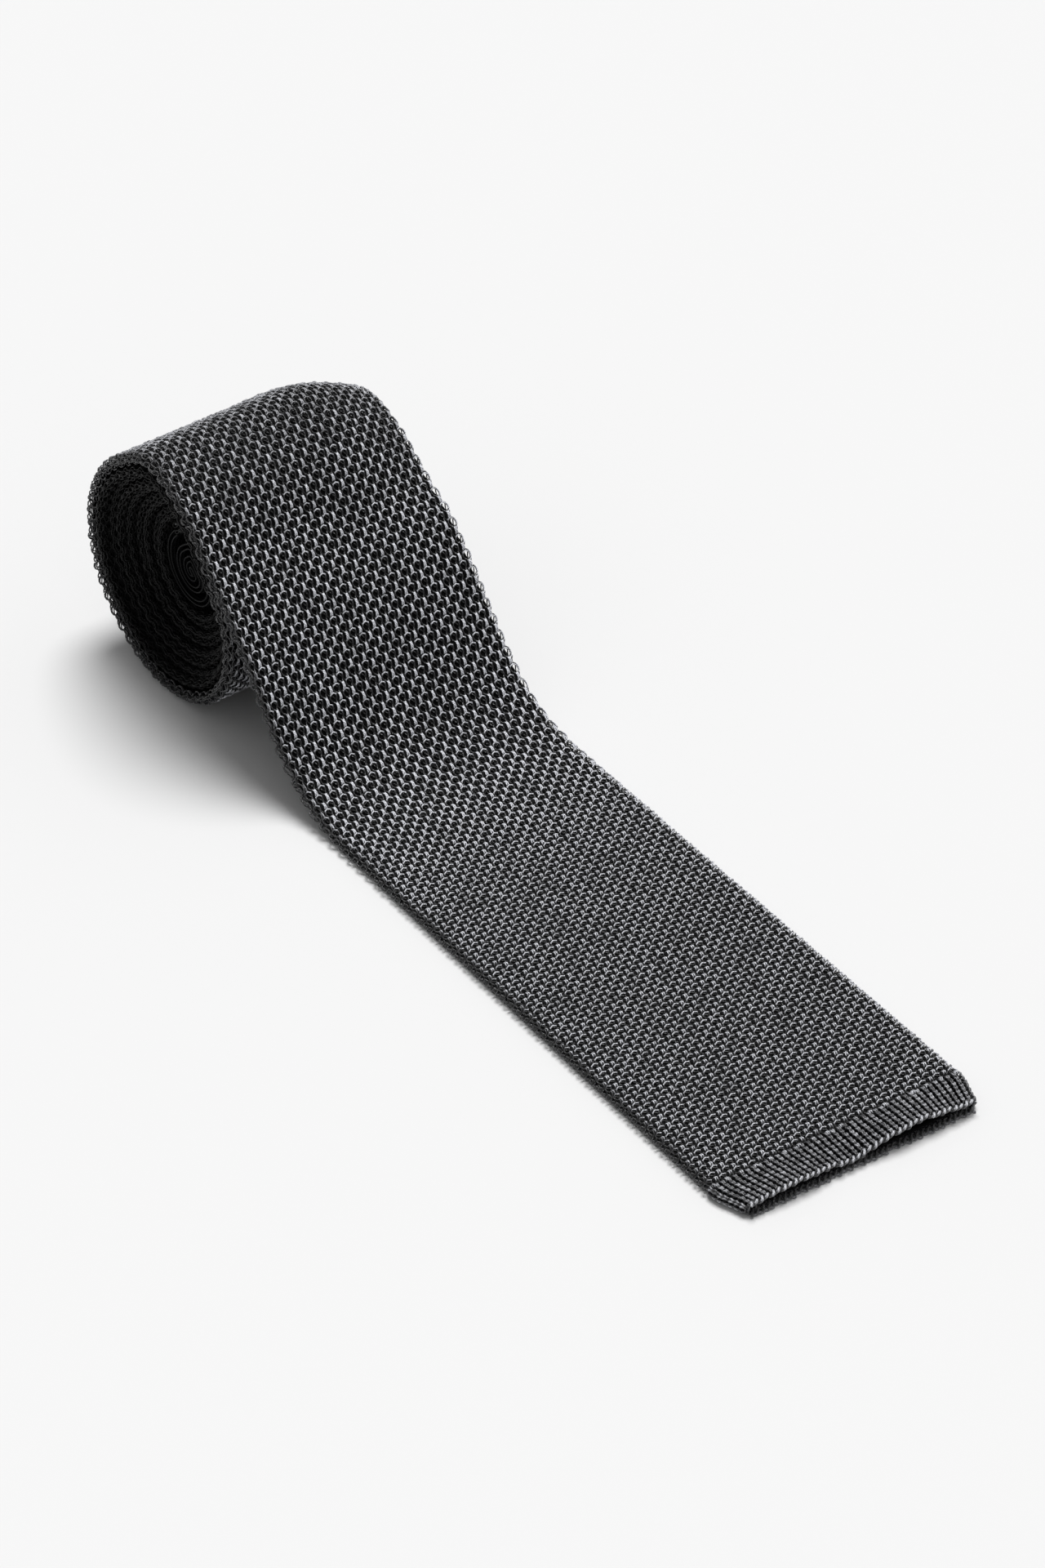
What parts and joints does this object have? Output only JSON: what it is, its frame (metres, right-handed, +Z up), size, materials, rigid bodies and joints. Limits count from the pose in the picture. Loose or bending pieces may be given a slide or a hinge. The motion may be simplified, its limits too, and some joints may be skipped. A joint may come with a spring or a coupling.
{
  "type": "necktie",
  "caption": "Square-ended knitted tube necktie, rolled up from its neckband with the front blade laid out flat, lifting at fold lines.",
  "frame": {"origin": "middle of the underside, on the surface the tie lies on", "axes": "+Z up, +Y from the tip of the front blade to the roll, +X across the blade to the right of someone facing the roll"},
  "size_m": [0.058, 0.2144, 0.0529],
  "materials": {
    "knit_silk": "charcoal silk yarn in a raised tuck stitch, soft gloss on each stitch, deep shade between stitches",
    "knit_silk_back": "the same yarn on the underside and in the turned hem, flatter and darker",
    "neckband_silk": "smooth fine-ribbed black silk cloth with a low sheen",
    "thread": "twisted silk sewing thread",
    "label_cloth": "blank black satin ribbon"
  },
  "bodies": {
    "roll": {"rise_face_knit": "knit_silk", "rise_back_knit": "knit_silk_back", "rise_back_seam": "thread", "outer_turn_face_knit": "knit_silk", "outer_turn_back_knit": "knit_silk_back", "keeper_strap": "label_cloth", "keeper_left_tack": "thread", "keeper_right_tack": "thread", "care_tag": "label_cloth", "wound_front_blade": "knit_silk", "front_neck_join": "thread", "neckband": "neckband_silk", "tail_neck_join": "thread", "tail_blade": "knit_silk", "tail_hem_rib": "knit_silk", "tail_cast_off_chain": "thread"},
    "blade_middle": {"middle_face_knit": "knit_silk", "middle_back_knit": "knit_silk_back", "middle_back_seam": "thread"},
    "blade_end": {"end_face_knit": "knit_silk", "end_back_knit": "knit_silk_back", "end_back_seam": "thread", "face_hem_rib": "knit_silk", "back_hem_rib": "knit_silk_back", "face_cast_off_chain": "thread", "back_cast_off_chain": "thread", "left_mouth_tack": "thread", "right_mouth_tack": "thread"}
  },
  "joints": [
    {"name": "blade_lift", "type": "hinge", "parent": "roll", "child": "blade_middle", "pos_m": [0, -0.00318, 0.0028], "axis": [-1, 0, 0], "range_deg": [0, 55]},
    {"name": "tip_lift", "type": "hinge", "parent": "blade_middle", "child": "blade_end", "pos_m": [0, -0.05318, 0.0028], "axis": [-1, 0, 0], "range_deg": [0, 75]}
  ]
}
